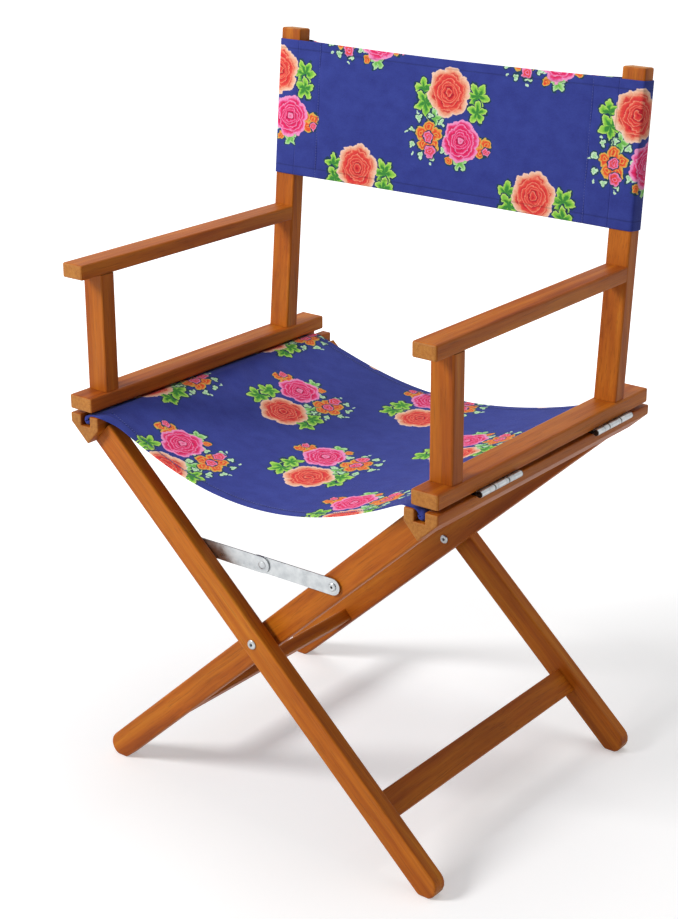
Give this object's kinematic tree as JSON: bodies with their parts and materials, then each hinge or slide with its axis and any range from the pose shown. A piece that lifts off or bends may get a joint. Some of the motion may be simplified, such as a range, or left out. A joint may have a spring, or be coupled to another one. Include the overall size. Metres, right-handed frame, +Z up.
{
  "type": "folding armchair",
  "caption": "Folding wooden armchair with crossing legs, hinged arm frames, a folding steel stay and a slung canvas seat and back with a rose print.",
  "frame": {"origin": "middle of the chair's footprint box, on the floor", "axes": "+X to the left arm of somebody sitting in it, which is the right arm seen from the front; +Y to the chair's back; +Z up"},
  "size_m": [0.5484, 0.45, 0.8798],
  "materials": {
    "oiled_wood": "oiled reddish hardwood, satin",
    "canvas": "matte woven cotton canvas, blue with a rose print",
    "dowel": "plain hardwood rod rolled into the canvas",
    "plated_steel": "zinc-plated steel, slightly dull"
  },
  "bodies": {
    "left_arm": {"left_arm_base_rail": "oiled_wood", "left_arm_front_post": "oiled_wood", "left_arm_armrest": "oiled_wood", "left_arm_back_post": "oiled_wood", "left_arm_hinge_leaf_front": "plated_steel", "left_arm_hinge_leaf_rear": "plated_steel", "left_arm_hinge_pin_front": "plated_steel", "left_arm_hinge_pin_rear": "plated_steel", "back_canvas": "canvas"},
    "outer_frame": {"outer_leg_front": "oiled_wood", "outer_leg_rear": "oiled_wood", "outer_stretcher": "oiled_wood", "outer_seat_rail": "oiled_wood", "outer_seat_dowel": "dowel", "outer_hinge_leaf_front": "plated_steel", "outer_hinge_leaf_rear": "plated_steel", "pivot_bolt_front": "plated_steel", "pivot_bolt_rear": "plated_steel", "pivot_washer_front": "plated_steel", "pivot_washer_rear": "plated_steel", "pivot_nut_front": "plated_steel", "pivot_nut_rear": "plated_steel", "stay_outer_screw": "plated_steel", "seat_canvas": "canvas"},
    "inner_frame": {"inner_leg_front": "oiled_wood", "inner_leg_rear": "oiled_wood", "inner_stretcher": "oiled_wood", "inner_seat_rail": "oiled_wood", "inner_seat_dowel": "dowel", "inner_hinge_leaf_front": "plated_steel", "inner_hinge_leaf_rear": "plated_steel"},
    "right_arm": {"right_arm_base_rail": "oiled_wood", "right_arm_front_post": "oiled_wood", "right_arm_armrest": "oiled_wood", "right_arm_back_post": "oiled_wood", "right_arm_hinge_leaf_front": "plated_steel", "right_arm_hinge_leaf_rear": "plated_steel", "right_arm_hinge_pin_front": "plated_steel", "right_arm_hinge_pin_rear": "plated_steel"},
    "stay_outer": {"stay_outer_link": "plated_steel", "stay_rivet": "plated_steel"},
    "stay_inner": {"stay_inner_link": "plated_steel", "stay_inner_screw": "plated_steel"}
  },
  "joints": [
    {"name": "fold", "type": "hinge", "parent": "outer_frame", "child": "inner_frame", "pos_m": [0, 0, 0.24], "axis": [0, -1, 0], "range_deg": [0, 80], "deforming": ["seat_canvas", "back_canvas"]},
    {"name": "left_arm_hinge", "type": "hinge", "parent": "left_arm", "child": "outer_frame", "pos_m": [-0.2705, 0, 0.47275], "axis": [0, 1, 0], "range_deg": [0, 40]},
    {"name": "right_arm_hinge", "type": "hinge", "parent": "inner_frame", "child": "right_arm", "pos_m": [0.2705, 0, 0.47275], "axis": [0, 1, 0], "range_deg": [0, 40]},
    {"name": "stay_outer_pivot", "type": "hinge", "parent": "outer_frame", "child": "stay_outer", "pos_m": [-0.10103, 0, 0.33253], "axis": [0, 1, 0], "range_deg": [0, 40]},
    {"name": "stay_knee", "type": "hinge", "parent": "stay_outer", "child": "stay_inner", "pos_m": [0, 0, 0.33253], "axis": [0, -1, 0], "range_deg": [0, 160]}
  ],
  "couplings": [
    {"joint": "left_arm_hinge", "follows": "fold", "ratio": 0.5},
    {"joint": "right_arm_hinge", "follows": "fold", "ratio": 0.5},
    {"joint": "stay_outer_pivot", "follows": "fold", "ratio": 0.4973},
    {"joint": "stay_knee", "follows": "fold", "ratio": 1.9946}
  ]
}
